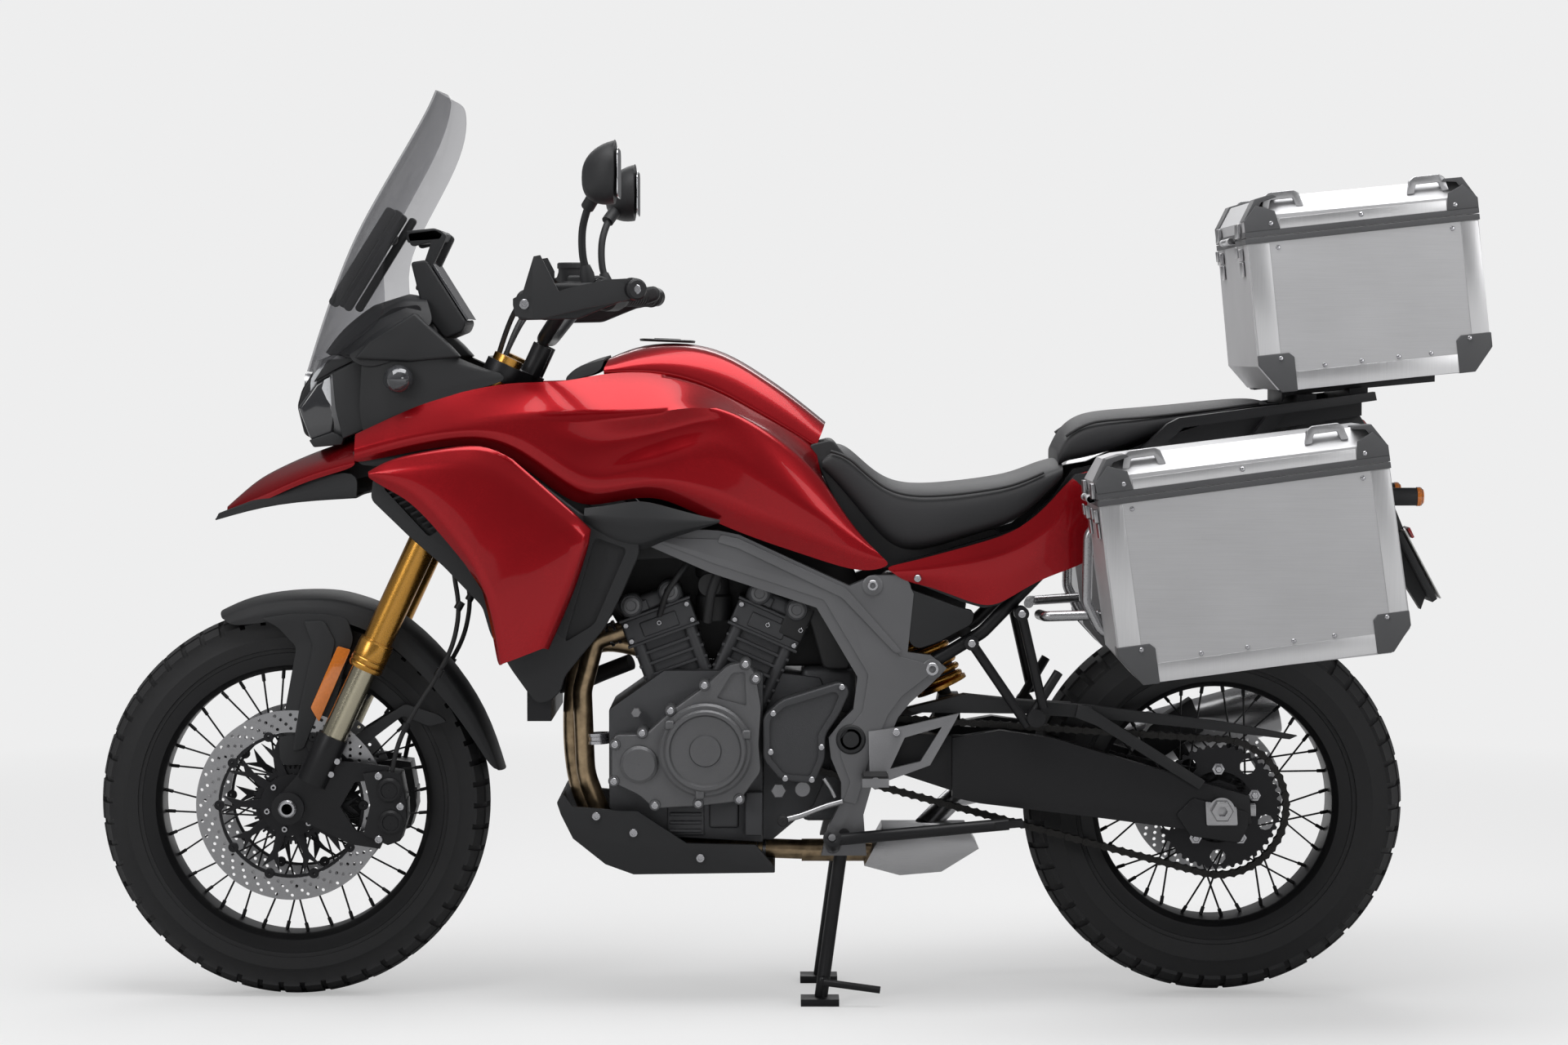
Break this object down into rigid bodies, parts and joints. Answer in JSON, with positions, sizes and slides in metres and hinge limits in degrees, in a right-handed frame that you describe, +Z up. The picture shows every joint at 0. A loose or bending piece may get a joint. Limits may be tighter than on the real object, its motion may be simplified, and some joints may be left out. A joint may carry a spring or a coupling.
{
  "type": "adventure motorcycle",
  "caption": "Adventure touring motorcycle with wire wheels, upside-down fork, vee engine, tall screen, top box and panniers, parked on its centre stand.",
  "frame": {"origin": "on the ground under the middle of the machine's length and width", "axes": "+X rearwards, +Y to the machine's right, +Z up; it faces -X"},
  "size_m": [2.3102, 0.96, 1.534],
  "materials": {
    "frame_paint": "satin",
    "black_steel": "satin",
    "engine_casting": "matt",
    "cover_casting": "satin",
    "grey_casting": "satin",
    "black_casting": "satin",
    "radiator_core": "matt",
    "heated_steel": "heat tinted",
    "silencer_steel": "brushed",
    "gold_spring": "gloss",
    "gold_anodised": "anodised",
    "champagne_tube": "polished",
    "chain_steel": "oiled",
    "disc_steel": "ground",
    "rim_black": "satin",
    "bright_steel": "satin",
    "case_aluminium": "brushed",
    "caliper_black": "satin",
    "black_plastic": "grained",
    "red_paint": "metallic gloss",
    "seat_cover": "fine grain",
    "lamp_glass": "gloss",
    "display_glass": "gloss",
    "smoked_screen": "gloss",
    "hose_rubber": "matt",
    "tyre_rubber": "matt"
  },
  "bodies": {
    "frame": {"main_frame": "frame_paint", "rear_subframe": "black_steel", "crankcase": "engine_casting", "cylinders": "engine_casting", "engine_covers": "cover_casting", "radiator": "radiator_core", "exhaust_headers": "heated_steel", "muffler": "silencer_steel", "skid_plate": "black_plastic", "swingarm": "black_steel", "shock_absorber": "gold_spring", "chain": "chain_steel", "chain_guard": "black_plastic", "rear_caliper": "caliper_black", "fuel_tank": "red_paint", "rider_seat": "seat_cover", "passenger_seat": "seat_cover", "tail_panels": "red_paint", "side_fairings": "red_paint", "radiator_ducts": "black_plastic", "beak": "red_paint", "headlamp": "lamp_glass", "windscreen": "smoked_screen", "nose_cowl": "black_plastic", "instrument_display": "display_glass", "top_box": "case_aluminium", "left_pannier": "case_aluminium", "right_pannier": "case_aluminium", "luggage_rack": "black_steel", "pannier_rack": "bright_steel", "footrests": "grey_casting", "tail_lamp_and_plate": "black_plastic"},
    "steering": {"fork_tubes": "gold_anodised", "fork_sliders": "champagne_tube", "axle_carriers": "black_casting", "fork_yokes": "black_casting", "handlebar": "black_steel", "handguards": "black_plastic", "mirrors": "black_plastic", "front_calipers": "caliper_black", "brake_hoses": "hose_rubber", "front_fender": "black_plastic"},
    "front_wheel": {"front_tyre": "tyre_rubber", "front_rim": "rim_black", "front_discs": "disc_steel"},
    "rear_wheel": {"rear_tyre": "tyre_rubber", "rear_rim": "rim_black", "rear_disc": "disc_steel", "rear_sprocket": "chain_steel"},
    "centre_stand": {"centre_stand": "black_steel"},
    "side_stand": {"side_stand": "black_steel"},
    "top_box_lid": {"top_box_lid": "case_aluminium"},
    "left_pannier_lid": {"left_pannier_lid": "case_aluminium"},
    "right_pannier_lid": {"right_pannier_lid": "case_aluminium"}
  },
  "joints": [
    {"name": "steering_turn", "type": "hinge", "parent": "frame", "child": "steering", "pos_m": [-0.51008, 0, 0.89368], "axis": [0.4226, 0, 0.9063], "range_deg": [-37, 37]},
    {"name": "front_wheel_spin", "type": "hinge", "parent": "steering", "child": "front_wheel", "pos_m": [-0.828, 0, 0.3293], "axis": [0, 1, 0], "continuous": true},
    {"name": "rear_wheel_spin", "type": "hinge", "parent": "frame", "child": "rear_wheel", "pos_m": [0.727, 0, 0.3289], "axis": [0, 1, 0], "continuous": true},
    {"name": "centre_stand_fold", "type": "hinge", "parent": "frame", "child": "centre_stand", "pos_m": [0.1, 0, 0.29], "axis": [0, -1, 0], "range_deg": [0, 90]},
    {"name": "side_stand_fold", "type": "hinge", "parent": "frame", "child": "side_stand", "pos_m": [0.08, -0.176, 0.283], "axis": [0.041, 0.9019, -0.43], "range_deg": [0, 103]},
    {"name": "top_box_lid_hinge", "type": "hinge", "parent": "frame", "child": "top_box_lid", "pos_m": [0.74805, 0, 1.27514], "axis": [0, -1, 0], "range_deg": [0, 95]},
    {"name": "left_pannier_lid_hinge", "type": "hinge", "parent": "frame", "child": "left_pannier_lid", "pos_m": [0.48607, -0.356, 0.85694], "axis": [0, -1, 0], "range_deg": [0, 95]},
    {"name": "right_pannier_lid_hinge", "type": "hinge", "parent": "frame", "child": "right_pannier_lid", "pos_m": [0.48607, 0.356, 0.85694], "axis": [0, -1, 0], "range_deg": [0, 95]}
  ]
}
